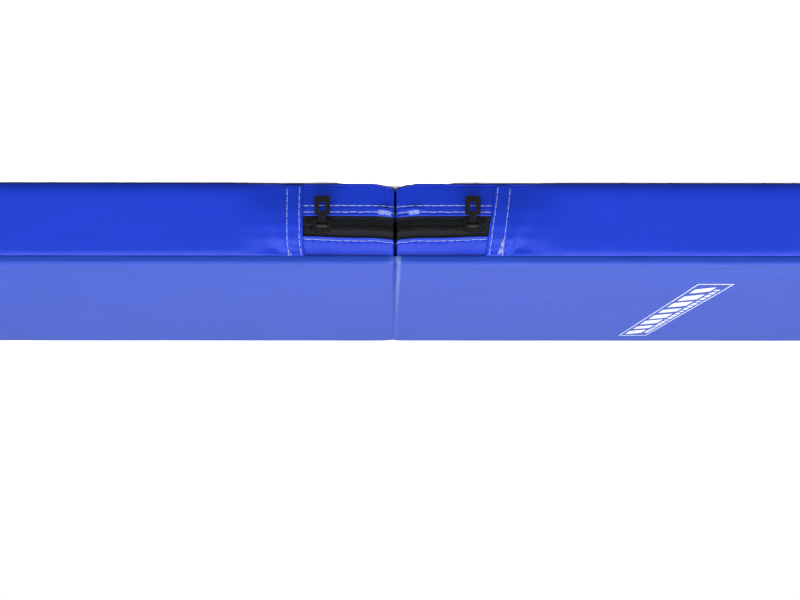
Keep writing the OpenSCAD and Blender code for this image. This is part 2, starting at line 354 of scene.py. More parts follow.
def level_grid(path, levels):
    """Each point's distance from the fold and height, by path point and level."""
    z = np.tile(levels, (len(path.points), 1))
    return np.repeat(path.points[:, :1], len(levels), 1), z


def wall(name, side, path, levels, out, height, thick, slide=0.0):
    """A closed strip of cloth along a path, its two cut edges softened. out, its outer
    surface, and height are arrays by path point and level. slide moves points along X."""
    half = round_ends(levels, thick)
    out = out - (thick / 2 - half)
    thick = 2 * half + 0 * out
    slide = slide + 0 * out
    count = len(levels)
    inner = slice(count - 2, 0, -1)
    offsets = np.concatenate([out, (out - thick)[:, inner]], 1)
    heights = np.concatenate([height, height[:, inner]], 1)
    plan = path.points[:, None, :] + offsets[:, :, None] * path.outward[:, None, :]
    plan[:, :, 0] += np.concatenate([slide, slide[:, inner]], 1)
    points = np.concatenate([plan, heights[:, :, None]], 2).reshape(-1, 3)
    ring = offsets.shape[1]
    faces = ring_faces(len(path.points), ring)
    for base in (0, (len(path.points) - 1) * ring):
        for j in range(count - 1):
            quad = [base + k for k in (j, j + 1, ring - j - 1, (ring - j) % ring)]
            faces.append(tuple(dict.fromkeys(quad)))
    return make_mesh(name, points * (SIDES[side], 1, 1), [f for f in faces if len(f) > 2])


def round_ends(levels, thick):
    """Half thickness of a strip at each level when its two cut edges are softened."""
    half = np.full(len(levels), thick) / 2
    for edge in (levels[0], levels[-1]):
        depth = np.clip(1 - np.abs(levels - edge) / EDGE_R, 0, 1)
        half = half - EDGE_R * (1 - np.sqrt(1 - depth**2))
    return half


def fold_press(y):
    """How far the foam presses the fold end out, by the place across the mat."""
    return FOLD_PRESS * smooth((HALF_W - np.abs(y) - 1) / FOLD_PRESS_IN)


def fold_share(path):
    """1 where the path runs over the fold end, and 0 on the front and the back."""
    return np.clip(-path.outward[:, 0], 0, 1)[:, None]


def fold_tuck(path):
    """How far the facings are tucked in at the corners of the fold end."""
    return 0.3 * bell(path.points[:, :1], 9) * (1 - fold_share(path))


def insert_out(side, path, z):
    """How far the zip insert stands out, by path point and height at rest. At the fold
    end the foam presses it towards the other panel's insert."""
    x = path.points[:, :1]
    out = insert_stand(x, z)
    for at, up, length, tall, height in PUCKERS[side]:
        out = out + height * bell(x - at, length) * bell(z - up, tall)
    return out + (fold_press(path.points[:, 1:]) - out) * fold_share(path)


def stitch_grooves(path, z):
    """Shallow grooves under the facing's rows of stitches, deeper at the needle holes."""
    beat = 0.5 + 0.5 * np.cos(2 * math.pi * path.run[:, None] / STITCH)
    groove = 0
    for row in ROWS:
        groove = groove - bell(z - row, 0.6) * (0.16 + 0.16 * beat)
        groove = groove - 0.12 * bell(z - row, 2.4) * beat
    return groove


# ---- swell of the filled covers, by cloth simulation ----

# The grid on which the swell is measured, its cap, and how far from the edges it fades;
# the simulation's frames, its voxels, and how close to a seam the cloth is held.
SWELL_CELLS = 14
SWELL_CAP = 2.2
SWELL_EASE = 70
SWELL_FRAMES = 16
VOXEL = 12
HELD_EDGE = 9


def simulate_cover():
    """The right panel's cover as a bladder: a remeshed block blown up by cloth pressure and
    held along its seams. Returns its surface, in metres."""
    low = np.array((HALF_GAP, -HALF_W, 0)) + 1
    high = np.array((PANEL, HALF_W, THICK)) - 1
    corners = [[(low, high)[pick >> k & 1][k] for k in range(3)] for pick in range(8)]
    block = make_mesh("bladder", corners, [(0, 1, 3, 2), (4, 5, 7, 6), (0, 1, 5, 4),
                                           (2, 3, 7, 6), (0, 2, 6, 4), (1, 3, 7, 5)])
    remesh = block.modifiers.new("remesh", "REMESH")
    remesh.mode = "VOXEL"
    remesh.voxel_size = VOXEL * MM
    apply_modifiers(block)
    places = np.array([v.co for v in block.data.vertices]) / MM
    near = np.minimum(places - low, high - places) < HELD_EDGE
    on_base = places[:, 2] - low[2] < HELD_EDGE
    kept = on_base | near[:, 2] & (near[:, 0] | near[:, 1])
    block.vertex_groups.new(name="held").add(np.flatnonzero(kept).tolist(), 1, "REPLACE")
    cloth = block.modifiers.new("cloth", "CLOTH")
    for key, value in {"quality": 5, "mass": 0.6, "tension_stiffness": 40,
                       "compression_stiffness": 40, "bending_stiffness": 2,
                       "use_pressure": True, "uniform_pressure_force": 4,
                       "vertex_group_mass": "held"}.items():
        setattr(cloth.settings, key, value)
    cloth.settings.effector_weights.gravity = 0
    for frame_number in range(1, SWELL_FRAMES + 1):
        bpy.context.scene.frame_set(frame_number)
    apply_modifiers(block)
    bpy.context.scene.frame_set(1)
    tree = BVHTree.FromObject(block, bpy.context.evaluated_depsgraph_get())
    bpy.data.objects.remove(block)
    return tree


def soft_cap(values, cap):
    """Positive values kept under a cap without a corner."""
    return cap * (1 - np.exp(-np.maximum(values, 0) / cap))


def measured_swell():
    """An even grid of the panel, and the simulated cover's height over its flat face."""
    xs = np.linspace(HALF_GAP + 4, PANEL - 4, SWELL_CELLS)
    ys = np.linspace(-HALF_W + 4, HALF_W - 4, SWELL_CELLS)
    tree = simulate_cover()
    hits = [[tree.ray_cast(Vector((x, y, 3 * THICK)) * MM, Vector((0, 0, -1)))[0]
             for y in ys] for x in xs]
    heights = np.array([[hit.z / MM - (THICK - 1) if hit else 0 for hit in row]
                        for row in hits])
    for _ in range(2):
        padded = np.pad(heights, 1, mode="edge")
        heights = (padded[:-2, 1:-1] + padded[2:, 1:-1] + padded[1:-1, :-2]
                   + padded[1:-1, 2:] + 2 * padded[1:-1, 1:-1]) / 6
    return xs, ys, soft_cap(heights, SWELL_CAP)


SWELL_X, SWELL_Y, SWELL = measured_swell()


def grid_place(value, grid):
    """The cell of an even grid that each value is in, and its eased share of the cell."""
    place = np.clip((value - grid[0]) / (grid[1] - grid[0]), 0, len(grid) - 1.001)
    cell = place.astype(int)
    return cell, smooth(place - cell)


def swell(x, y):
    """The cover's swell over the flat face, smoothly between the grid's points, zero at
    the edges of the panel. x is the distance from the fold."""
    (i, u), (j, v) = (grid_place(np.abs(x), SWELL_X), grid_place(y, SWELL_Y))
    near, far = (SWELL[i, k] * (1 - u) + SWELL[i + 1, k] * u for k in (j, j + 1))
    edge = np.minimum(np.minimum(np.abs(x) - HALF_GAP, PANEL - np.abs(x)), HALF_W - np.abs(y))
    return (near * (1 - v) + far * v) * smooth(edge / SWELL_EASE)


# ---- face and base sheets ----

def stretched_to(values, first, last):
    """Numbers whose ends are moved to first and last, and those beside the ends in part."""
    values = np.array(values, float)
    near_first = np.clip(1 - np.abs(values - values[0]) / 12, 0, 1)
    near_last = np.clip(1 - np.abs(values - values[-1]) / 12, 0, 1)
    return values + (first - values[0]) * near_first + (last - values[-1]) * near_last


def rounded_ring(low, high, inset, radii, xs, ys):
    """Points and outward directions round a rectangle with rounded corners."""
    x0, y0, x1, y1 = low[0] + inset, low[1] + inset, high[0] - inset, high[1] - inset
    r = [max(radius - inset, 0) for radius in radii]
    sides = [(xs, x0 + r[3], x1 - r[0], y0, (0, -1), (x1 - r[0], y0 + r[0])),
             (ys, y0 + r[0], y1 - r[1], x1, (1, 0), (x1 - r[1], y1 - r[1])),
             (xs[::-1], x1 - r[1], x0 + r[2], y1, (0, 1), (x0 + r[2], y1 - r[2])),
             (ys[::-1], y1 - r[2], y0 + r[3], x0, (-1, 0), (x0 + r[3], y0 + r[3]))]
    stretches = []
    for k, (values, first, last, fixed, way, centre) in enumerate(sides):
        stretches.append(straight(stretched_to(values, first, last), fixed, way))
        stretches.append(arc(centre, r[k], -90 + 90 * k, 90 * k, 7))
    return [np.concatenate(parts).astype(float) for parts in zip(*stretches)]


def ring_sheet(name, low, high, radii, profile, xs, ys, shape, up):
    """A sheet over a rounded rectangle. profile lists (inset, height) from its outer edge
    to the flat grid of xs and ys. shape moves the points, given them, their outward
    directions and their slopes along the profile."""
    tilt = np.abs(np.gradient(np.array(profile, float), axis=0))[:, ::-1]
    tilt = tilt / np.linalg.norm(tilt, axis=1, keepdims=True)
    rows, outs = [], []
    for inset, height in profile:
        ring, out = rounded_ring(low, high, inset, radii, xs, ys)
        rows.append(np.column_stack([ring, np.full(len(ring), height)]))
        outs.append(out)
    count = len(rows[0])
    flat = np.array([(x, y, profile[-1][1]) for x in xs for y in ys], float)
    outs = np.concatenate(outs + [np.zeros((len(flat), 2))])
    slopes = np.concatenate([np.repeat(tilt, count, 0), np.tile((0.0, 1.0), (len(flat), 1))])
    faces = ring_faces(len(rows), count) + grid_faces(len(xs), len(ys), len(rows) * count)
    moved = shape(np.concatenate(rows + [flat]), outs, slopes)
    piece = make_mesh(name, moved, faces, merge=0.002)
    if sum(p.normal.z * p.area for p in piece.data.polygons) * up < 0:
        piece.data.flip_normals()
    return piece


def spaced(values, gap):
    """The values in order, leaving out any that is within a gap of the one before."""
    kept = []
    for v in sorted(values):
        if not kept or v - kept[-1] > gap:
            kept.append(v)
    return kept


def sheet_lines(low, high, first, grow):
    """Grid lines across a sheet, close together near its edges. first is their spacing at
    the middle, which grows away from it."""
    middle = (low + high) / 2
    lines = set()
    for end in (low + CORNER_R, high - CORNER_R):
        half = (end + middle) / 2
        lines |= {round(v, 3) for v in steps(end, half, 1.6, 16, 1.35)}
        lines |= {round(v, 3) for v in steps(middle, half, first, 9, grow)}
    return spaced(lines, 0.18)


def crease(x, y):
    """How deep the fold's crease is at a distance from the fold line. It is deepest at
    the front end."""
    near = np.abs(x)
    sharp = 2.4 * np.exp(-near / 0.75)
    broad = 0.9 * np.exp(-((near / 4.2) ** 1.5))
    slack = np.where(x > 0, 0.55, 0.12) * bell(x, 13)
    fading = 0.3 + 0.7 * np.exp(-(y + HALF_W) / 170)
    return (sharp + broad + slack) * fading


def face_relief(x, y):
    """Height of the face sheet over FACE_TOP, without the crease."""
    from_front = y + HALF_W
    near_fold = bell(x, 26) * np.exp(-from_front / 45)
    return (swell(x, y) + 0.10 * waves(x, y, 3, 60)
            + 0.16 * near_fold * waves(x, 0 * y, 5, 7))


# Insets and heights: the face sheet's roll from its seam up, and the base's rim.
FACE_PROFILE = [(inset, SEAM_Z + rise) for inset, rise in (
    (0.8, -0.25), (0.4, -0.1), (0.12, 0.05), (0.0, 0.3), (0.0, 1.0), (0.0, 2.1), (0.05, 3.1),
    (0.22, 4.0), (0.65, 4.75), (1.5, 5.25), (3.0, 5.5))] + [(8.0, FACE_TOP)]
BASE_PROFILE = [(1.9, 1.15), (1.3, 1.1), (0.75, 0.95), (0.5, 0.7), (0.5, 0.42),
                (0.8, 0.2), (1.4, 0.06), (2.4, 0.0), (4.5, 0.0), (8.0, 0.0)]


def shape_face(points, outs, slopes):
    """Bends the flat face sheet: swell, the crease at the fold, which also notches the roll
    at its two ends, and a slight ripple of the roll."""
    x, y, z = points.T
    level = np.clip(slopes[:, 1], 0, 1) * smooth((z - SEAM_Z - 3.4) / 2)
    depth = crease(x, y)
    ripple = 0.18 * waves(x, y, 11, 34) * smooth((z - SEAM_Z) / 1.5) * (1 - level)
    push = ripple * (1 + 1.5 * np.exp(-np.abs(x) / 60))
    at_end = 1 - smooth((HALF_W - np.abs(y)) / CORNER_R)
    sideways, up = slopes.T
    notch = np.sign(y) * CREASE_NOTCH * depth * at_end
    top = up * push + level * face_relief(x, y) - depth * smooth((z - SEAM_Z) / (THICK - SEAM_Z))
    return np.column_stack([x + outs[:, 0] * sideways * push,
                            y + outs[:, 1] * sideways * push - notch, z + top])


def face_cover(material):
    """The marked upper face of both panels, one sheet with a crease at the fold."""
    xs = sheet_lines(-PANEL, PANEL, 0.25, 1.22)
    ys = sheet_lines(-HALF_W, HALF_W, 16, 1.0)
    piece = ring_sheet("face_cover", (-PANEL, -HALF_W), (PANEL, HALF_W), [CORNER_R] * 4,
                       FACE_PROFILE, xs, ys, shape_face, 1)
    thicken(piece)
    finished(piece, material, "face_vinyl", None, "face_sheet_left", "face_sheet_right",
             "fold_web")
    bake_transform(piece)


def foot_out(side, x):
    """How far the foot of a panel's side stands out at a distance from the fold."""
    past = x - TAB_EDGE[side]
    insert = insert_stand(x, FOOT_Z)
    return insert + (band_level(side, past, FOOT_Z) - insert) * smooth(past + 0.5)


def base_cover(side, material):
    """The underside of one panel, lifted towards the fold. Its outline follows the feet
    of the side band and the zip insert."""
    def rim(inset):
        return 1 - smooth((inset - BASE_EASE[0]) / (BASE_EASE[1] - BASE_EASE[0]))

    def shape(points, outs, slopes):
        x, y, z = points.T
        from_side = HALF_W - np.abs(y)
        out_end = band_belly(FOOT_Z) + BASE_RIM
        out_fold = fold_press(y) + BASE_FOLD_RIM
        moved_x = x + out_end * rim(PANEL - x) - out_fold * rim(x - HALF_GAP)
        moved_y = y + np.sign(y) * (foot_out(side, x) + BASE_RIM) * rim(from_side)
        return np.column_stack([moved_x * SIDES[side], moved_y, z + lift(x)])

    under_lift = [11.0, 13.0, 15.5, LIFT_LEN]
    xs = sorted(set(sheet_lines(HALF_GAP, PANEL, 16, 1.0) + under_lift))
    ys = sheet_lines(-HALF_W, HALF_W, 16, 1.0)
    radii = [CORNER_R, CORNER_R, FOLD_CORNER_R, FOLD_CORNER_R]
    piece = ring_sheet(f"base_cover_{side}", (HALF_GAP, -HALF_W), (PANEL, HALF_W), radii,
                       BASE_PROFILE, xs, ys, shape, -1)
    thicken(piece)
    finished(piece, material, "base_vinyl", f"{side}_panel", f"base_sheet_{side}")


# ---- side band and its stitched tabs ----

def tab_shift(side, z):
    """How far the tab's edge has moved towards the fold at a height."""
    return np.interp(z, TAB_HEIGHTS, TAB_SHIFT[side])


def band_level(side, past, z):
    """How far the side band stands out before its folds. past is the distance past the
    tab's edge, where the band laps over the zip insert."""
    near = 1 - smooth((past - 14) / 34)
    lapped = insert_stand(TAB_EDGE[side] + past, z) + 0.1
    lapped = lapped + 0.6 * (1 - smooth((past - 10) / 3))
    opening = smooth((z - OPEN_LOW + 1) / 3) * smooth((OPEN_HIGH + 1 - z) / 3)
    lapped = lapped - 0.35 * opening * smooth(past / 4)
    return band_belly(z) + (lapped - band_belly(z)) * near


def band_out(side, past, z, run):
    """How far the side band stands out, with its stitches, folds and ripples."""
    out = band_level(side, past, z)
    free = smooth((z - 2) / 6) * smooth((44 - z) / 4)
    beat = 0.5 + 0.5 * np.cos(2 * math.pi * z / STITCH)
    for row in TAB_ROWS:
        out = out - (0.2 + 0.18 * beat) * bell(past - row, 0.75)
        out = out - 0.22 * beat * bell(past - row, 3.2) * free
    strength = {"left": 1.1, "right": 0.7}[side]
    ridge = bell(past - 12.5 - 0.10 * (45 - z), 1.9) * smooth((z - 22) / 14)
    dent = bell(past - 18 - 0.25 * (45 - z), 4.5) * smooth((z - 14) / 16)
    out = out + strength * free * (0.75 * ridge - 0.6 * dent)
    out = out + free * waves(run, z * 0.6, 21, 26) * (0.12 + 0.3 * np.exp(-past / 26))
    return out + free * 0.12 * waves(run, z * 0.3, 23, 110)


# Heights at which the side band has points, closer where it bends.
BAND_LEVELS = np.array([0.5, 0.8, 1.2, 1.8, 2.8, 4.5, 6.5, *np.arange(9, 36, 2.5), 36, 38,
                        39.5, 41, 42, 42.8, 43.4, 43.9, 44.3, 44.7, 45.0])


def side_band(side, material):
    """The strip round the outer end of a panel, with a stitched tab at each end."""
    path = band_path(TAB_EDGE[side])
    x, z = level_grid(path, BAND_LEVELS)
    straight_stretch = np.abs(path.outward[:, 1:2]) > 0.999
    past = np.where(straight_stretch, x - TAB_EDGE[side], PANEL)
    out = band_out(side, past, z, path.run[:, None])
    lip = np.clip(1 - past / TAB_LIP, 0, 1)
    out = out - TAB_LIP * (1 - np.sqrt(1 - lip**2))
    slide = -tab_shift(side, z) * (1 - smooth(past / TAB_SHIFT_EASE))
    piece = wall(f"side_band_cover_{side}", side, path, BAND_LEVELS, out, z, SKIN, slide)
    finished(piece, material, "side_vinyl", f"{side}_panel", f"side_band_{side}")


# ---- zip insert: facings, tapes and coils ----

def levels_between(low, high, marks, far=2.2):
    """Heights from low to high, close together at both ends and at each mark."""
    near = [m + d for m in (low, high, *marks)
            for d in (-1.4, -0.8, -0.45, -0.2, 0, 0.2, 0.45, 0.8, 1.4)]
    levels = [v for v in [*near, *np.arange(low, high, far)] if low <= v < high - 0.14]
    return np.array(spaced(levels, 0.14) + [high])


def fold_rise(path):
    """How much higher the upper facing reaches at the fold end, to meet the face sheet,
    except where the crease notches the sheet's roll."""
    y = path.points[:, 1:]
    under_face = face_height(0.6, y) - SKIN - 0.05
    return (under_face - (SEAM_Z + SEAM_LAP)) * smooth((HALF_W - np.abs(y) - 0.8) / 3)


def insert_strip(name, side, path, levels, depth, thick, rise=0.0):
    """A strip of the zip insert: depth is how far its surface lies behind the facing's
    own, by path point and level, and rise how much higher it reaches at the fold end."""
    x, z = level_grid(path, levels)
    height = warp(x, z) + fold_share(path) * rise * smooth((z - 38) / 7)
    return wall(name, side, path, levels, insert_out(side, path, z) - depth, height, thick)


def facing(side, part, material):
    """A strip of cover beside the zip. Its edge at the zip is a hem of doubled cloth."""
    path = insert_path(INSERT_END)
    low, high, hem = {"lower": (FOOT_Z, OPEN_LOW, OPEN_LOW),
                      "upper": (OPEN_HIGH, SEAM_Z + SEAM_LAP, OPEN_HIGH)}[part]
    levels = levels_between(low, high, [r for r in ROWS if low < r < high])
    z = level_grid(path, levels)[1]
    thick = SKIN * np.interp(np.abs(levels - hem), HEM_FROM, HEM_THICK)
    puckers = 0.14 * waves(path.run[:, None], z * 1.5, 31, 17)
    depth = -stitch_grooves(path, z) - puckers * (1 - fold_share(path)) + fold_tuck(path)
    piece = insert_strip(f"{part}_facing_cover_{side}", side, path, levels, depth, thick,
                         fold_rise(path) if part == "upper" else 0.0)
    finished(piece, material, "side_vinyl", f"{side}_panel", f"{part}_facing_{side}")


def tape(side, part, material):
    """One woven tape of the zip, behind the facings."""
    path = insert_path(INSERT_END - 3, 1.5)
    low, high = {"lower": (TAPE_LOW, ZIP_Z - TAPE_MEET),
                 "upper": (ZIP_Z + TAPE_MEET, TAPE_HIGH)}[part]
    levels = levels_between(low, high, [])
    depth = TAPE_IN - (TAPE_IN - SKIN / 2) * fold_share(path)
    piece = insert_strip(f"{part}_tape_{side}_woven", side, path, levels, depth, TAPE_THICK)
    finished(piece, material, "zip_tape", f"{side}_panel", f"{part}_tape_{side}")


def on_insert(path, runs, out, z, above=0.0):
    """Points on the zip insert at some runs along its path: out is how far they stand out,
    z their height at rest, and above what is added once the cloth is pulled up."""
    plan, outward = path.at(runs)
    return np.column_stack([plan + out[:, None] * outward, warp(plan[:, 0], z) + above])


def stamp(name, shape, middles, axes, side):
    """Copies of one small shape at each place, as one mesh of separate solids."""
    points, faces = shape
    placed = middles[:, None, :] + np.einsum("ka,nab->nkb", points, axes)
    copies = [tuple(i + k * len(points) for i in f) for k in range(len(middles)) for f in faces]
    return make_mesh(name, placed.reshape(-1, 3) * (SIDES[side], 1, 1), copies)


def rounded_block(size, bevel, cuts):
    """A block with rounded edges, as points and faces round its middle."""
    work = bmesh.new()
    bmesh.ops.create_cube(work, size=1)
    for v in work.verts:
        v.co = Vector(v.co[k] * size[k] for k in range(3))
    bmesh.ops.bevel(work, geom=work.edges, offset=bevel, segments=cuts, profile=0.5,
                    affect="EDGES")
    work.verts.index_update()
    points = np.array([v.co for v in work.verts])
    faces = [tuple(v.index for v in f.verts) for f in work.faces]
    work.free()
    return points, faces


def insert_run_out(side, path, runs, z):
    """How far the zip insert stands out at some runs along the path, at height z."""
    return np.interp(runs, path.run, insert_out(side, path, z)[:, 0])


def zip_places(side, first, spare, pitch):
    """Even places along the zip, from first to spare short of its end: the path, the run
    lengths, how far the rows are parted there, and how far the tape stands out."""
    path = insert_path(COIL_REACH)
    runs = np.arange(first, path.run[-1] - spare, pitch)
    plan, outward = path.at(runs)
    in_front = outward[:, 1] < -0.5
    parted = in_front * SPREAD * smooth((plan[:, 0] - SLIDER_AT[side] + 1) / 5)
    return path, runs, parted, insert_run_out(side, path, runs, ZIP_Z) - TAPE_IN


def coil_row(side, part, material):
    """One row of coils: rounded loops over the tape's edge. Past the slider the row is
    parted from its neighbour."""
    way, first = {"lower": (-1, 0.7), "upper": (1, 0.7 + COIL_PITCH / 2)}[part]
    path, runs, parted, out = zip_places(side, first, 0.5, COIL_PITCH)
    overlap = COIL_LAP * (1 - parted / SPREAD)
    z = ZIP_Z + way * (COIL_WIDE / 2 + 0.05 - overlap / 2 + parted)
    middles = on_insert(path, runs, out + COIL_HIGH / 2, z)
    outward = np.column_stack([path.at(runs)[1], 0 * runs])
    up = np.tile((0.0, 0.0, 1.0), (len(runs), 1))
    axes = np.stack([np.cross(up, outward), up, outward], 1)
    loop = rounded_block((COIL_WIRE, COIL_WIDE + COIL_LAP, COIL_HIGH), 0.3, 3)
    loops = stamp(f"{part}_coil_{side}_loops", loop, middles, axes, side)
    finished(loops, material, "zip_coil", f"{side}_panel", f"{part}_coil_{side}")


def coil_cords(side, material):
    """The cords sewn along both rows of coils."""
    path, runs, parted, out = zip_places(side, 1.0, 1.0, 1.0)
    lines = [on_insert(path, runs, out + COIL_HIGH - 0.1, ZIP_Z + way * (aside + parted))
             for way in (-1, 1) for aside in CORD_ASIDE]
    piece = tubes(f"coil_cords_{side}", lines, CORD_R, 5, side)
    finished(piece, material, "zip_coil", f"{side}_panel")


def tubes(name, lines, radius, sides, side):
    """Closed tubes along lines of points. radius is one number or one per point."""
    points, faces = [], []
    for line in lines:
        line = np.asarray(line, float)
        along = np.gradient(line, axis=0)
        along /= np.linalg.norm(along, axis=1, keepdims=True)
        helper = np.where(np.abs(along[:, 2:3]) > 0.8, (0.0, 1.0, 0.0), (0.0, 0.0, 1.0))
        a = np.cross(along, helper)
        a /= np.linalg.norm(a, axis=1, keepdims=True)
        b = np.cross(along, a)
        angle = np.linspace(0, 2 * math.pi, sides, endpoint=False)
        ring = (np.cos(angle)[None, :, None] * a[:, None, :]
                + np.sin(angle)[None, :, None] * b[:, None, :])
        size = np.broadcast_to(radius, len(line))[:, None, None]
        first = sum(len(p) for p in points)
        points.append((line[:, None, :] + size * ring).reshape(-1, 3))
        faces += ring_faces(len(line), sides, first)
        faces.append(tuple(first + k for k in range(sides)))
        faces.append(tuple(first + (len(line) - 1) * sides + k for k in range(sides)))
    return make_mesh(name, np.concatenate(points) * (SIDES[side], 1, 1), faces)


# ---- thread ----

# Along one stitch: shares of its length, how far it rises there, and its thickness. A
# facing's stitches are sunk into it.
SUNK = 0.2
OVERSEWN_SUNK = 0.15
STITCH_SHARE = np.array((-0.5, -0.45, -0.36, 0.0, 0.36, 0.45, 0.5))
STITCH_RISE = 2 * THREAD_R * np.array((-0.6, -0.16, 0.1, 0.2, 0.1, -0.16, -0.6))
STITCH_SIZE = THREAD_R * np.array((0.45, 0.8, 1.0, 1.05, 1.0, 0.8, 0.45))
# The stitches sewn over the middle row: how far aside each lies, and how it is tilted.
OVERSEWN = ((-0.75, 0.3), (-0.4, -0.2), (0.4, -0.1), (0.75, 0.25), (1.1, 0.2))


def sewn_twice(side):
    """Stitches over the end of the middle row, by the fold."""
    path = insert_path(PANEL / 2)
    first, last = SEWN_TWICE[side]
    lines = []
    for aside, tilt in OVERSEWN:
        for part in (0.25, 0.75):
            share = part + STITCH_SHARE * 0.47
            runs = PANEL / 2 - last + (last - first) * share
            z = ROWS[1] + aside + tilt * (share - 0.5) * 2
            out = [insert_run_out(side, path, r, up) for r, up in zip(runs, z)]
            lines.append(on_insert(path, runs, np.array(out) - OVERSEWN_SUNK + STITCH_RISE, z))
    return lines


def facing_thread(side, material):
    """Three rows of stitches along the facings, each stitch its own short length, and the
    end of the middle row sewn over again by the fold."""
    lines = sewn_twice(side)
    for k, row in enumerate(ROWS):
        path = insert_path(TAB_EDGE[side] - tab_shift(side, row) + 0.5)
        level = (insert_out(side, path, row) - SUNK - fold_tuck(path))[:, 0]
        jitter = np.random.default_rng(40 + k)
        for at in np.arange(2.4 + 0.6 * k, path.run[-1] - 2.4, STITCH):
            runs = at + STITCH_SHARE * STITCH_LEN * jitter.uniform(0.93, 1.03)
            out = np.interp(runs, path.run, level) + STITCH_RISE
            above = jitter.uniform(-0.12, 0.12) + jitter.uniform(-0.1, 0.1) * STITCH_SHARE * 2
            lines.append(on_insert(path, runs, out, row, above))
    piece = tubes(f"facing_stitches_{side}", lines, STITCH_SIZE, 6, side)
    finished(piece, material, "thread", f"{side}_panel", f"facing_thread_{side}")


def tab_stitch(side, past, z, over=0.0):
    """One stitch on a tab, as a line of points in front and another behind. past and z are
    its distance past the tab's edge and its height at each of STITCH_SHARE."""
    out = band_out(side, past, z, past) + 0.06 + over + STITCH_RISE
    x = TAB_EDGE[side] + past - tab_shift(side, z) * (1 - smooth(past / TAB_SHIFT_EASE))
    return [np.column_stack([x, end * (HALF_W + out), z]) for end in (-1, 1)]


def tab_thread(side, material):
    """Two rows of stitches across each tab, front and back, and the ends sewn back."""
    lines = []
    for k, row in enumerate(TAB_ROWS):
        jitter = np.random.default_rng(60 + k)
        for z_at in np.arange(4.2 + 0.9 * k, SEAM_Z - 1.2, STITCH):
            z = z_at + STITCH_SHARE * STITCH_LEN * jitter.uniform(0.95, 1.04)
            lines += tab_stitch(side, row + jitter.uniform(-0.1, 0.1) + 0 * z, z)
    for k, (start, end) in enumerate(BACKTACK[side]):
        start, end = np.array(start), np.array(end)
        for middle in (0.25, 0.75):
            share = middle + STITCH_SHARE * 0.48
            past, z = start[:, None] + (end - start)[:, None] * share
            lines += tab_stitch(side, past, z, 0.12 * k)
    piece = tubes(f"tab_stitches_{side}", lines, STITCH_SIZE, 6, side)
    finished(piece, material, "thread", f"{side}_panel", f"tab_thread_{side}")


# ---- printed mark ----

def face_height(x, y):
    """Height of the face sheet's surface away from its edge's roll."""
    return FACE_TOP - crease(x, y) + face_relief(x, y)


def print_patch(corners, points, faces, pitch=5.0):
    """Adds a thin printed patch, a four-cornered shape that lies on the face sheet."""
    a, b, c, d = (np.array(p, float) for p in corners)
    across = max(2, int(np.linalg.norm(b - a) / pitch) + 1)
    along = max(2, int(np.linalg.norm(d - a) / pitch) + 1)
    u, v = np.meshgrid(np.linspace(0, 1, across), np.linspace(0, 1, along))
    u, v = u.ravel()[:, None], v.ravel()[:, None]
    plan = a * (1 - u) * (1 - v) + b * u * (1 - v) + c * u * v + d * (1 - u) * v
    height = face_height(plan[:, 0], plan[:, 1])
    first = sum(len(p) for p in points)
    count = len(plan)
    points += [np.column_stack([plan, height + t]) for t in (PRINT_THICK, -PRINT_THICK)]
    top = grid_faces(along, across, first)
    faces += top + [tuple(k + count for k in quad[::-1]) for quad in top]
    grid = first + np.arange(count).reshape(along, across)
    rim = [*grid[0], *grid[1:, -1], *grid[-1, -2::-1], *grid[-2:0:-1, 0]]
    rim = [int(k) for k in rim]
    faces += [(p, q, q + count, p + count) for p, q in zip(rim, rim[1:] + rim[:1])]


def printed_mark(material):
    """The mark on the left panel: an outline, slanted blocks and a row of short bars."""
    low, high = box_mm("printed_mark")
    (x0, y0), (x1, y1) = low[:2], high[:2]
    line_x, line_y = PRINT_LINE
    # Each patch: its ends along X, its ends along Y, and how far it is slanted.
    patches = [(x0, x1, y0, y0 + line_y, 0), (x0, x1, y1 - line_y, y1, 0),
               (x0, x0 + line_x, y0 + line_y, y1 - line_y, 0),
               (x1 - line_x, x1, y0 + line_y, y1 - line_y, 0)]
    # The blocks, then the bars: their number, the length left free, their half widths as
    # shares of the pitch, which ones are narrow, their ends along X, and their slant.
    for count, free, wide, narrow, every, left, right, slant in (
            (8, 30, 0.34, 0.26, 3, x0 + 8.2, x1 - 3.6, 7),
            (19, 60, 0.36, 0.22, 4, x0 + 2.8, x0 + 6.2, 0)):
        pitch = (y1 - y0 - free) / count
        for i in range(count):
            y = (y0 + y1) / 2 + (i - (count - 1) / 2) * pitch
            half = pitch * (wide if i % every else narrow)
            patches.append((left, right, y - half, y + half, slant))
    points, faces = [], []
    for left, right, near, far, slant in patches:
        print_patch([(left, near - slant), (right, near + slant), (right, far + slant),
                     (left, far - slant)], points, faces)
    piece = make_mesh("printed_mark_film", np.concatenate(points), faces)
    finished(piece, material, "print", "left_panel", "printed_mark")


# ---- foam ----

def foam_block(side, material):
    """The foam inside one panel: a block with softened edges, lifted like the base."""
    low = np.array((HALF_GAP, -HALF_W, 0)) + FOAM_LOW_IN
    high = np.array((PANEL, HALF_W, THICK)) - FOAM_HIGH_IN
    xs, ys = (np.array(steps(low[k], high[k], FOAM_CELL, FOAM_CELL)) for k in (0, 1))
    profile = [(2.0, low[2]), (0.6, low[2] + 0.6), (0, low[2] + 2.0), (0, high[2] - 3),
               (0.9, high[2] - 0.9), (3.0, high[2])]

    def shape(points, outs, slopes):
        x, y, z = points.T
        share = np.clip((z - low[2]) / (high[2] - low[2]), 0, 1)
        return np.column_stack([x * SIDES[side], y, z + (1 - share) * lift(x)])

    piece = ring_sheet(f"foam_block_{side}", low[:2], high[:2], FOAM_RADII, profile, xs, ys,
                       shape, 1)
    close_bottom(piece)
    finished(piece, material, "foam", f"{side}_panel", f"foam_core_{side}")


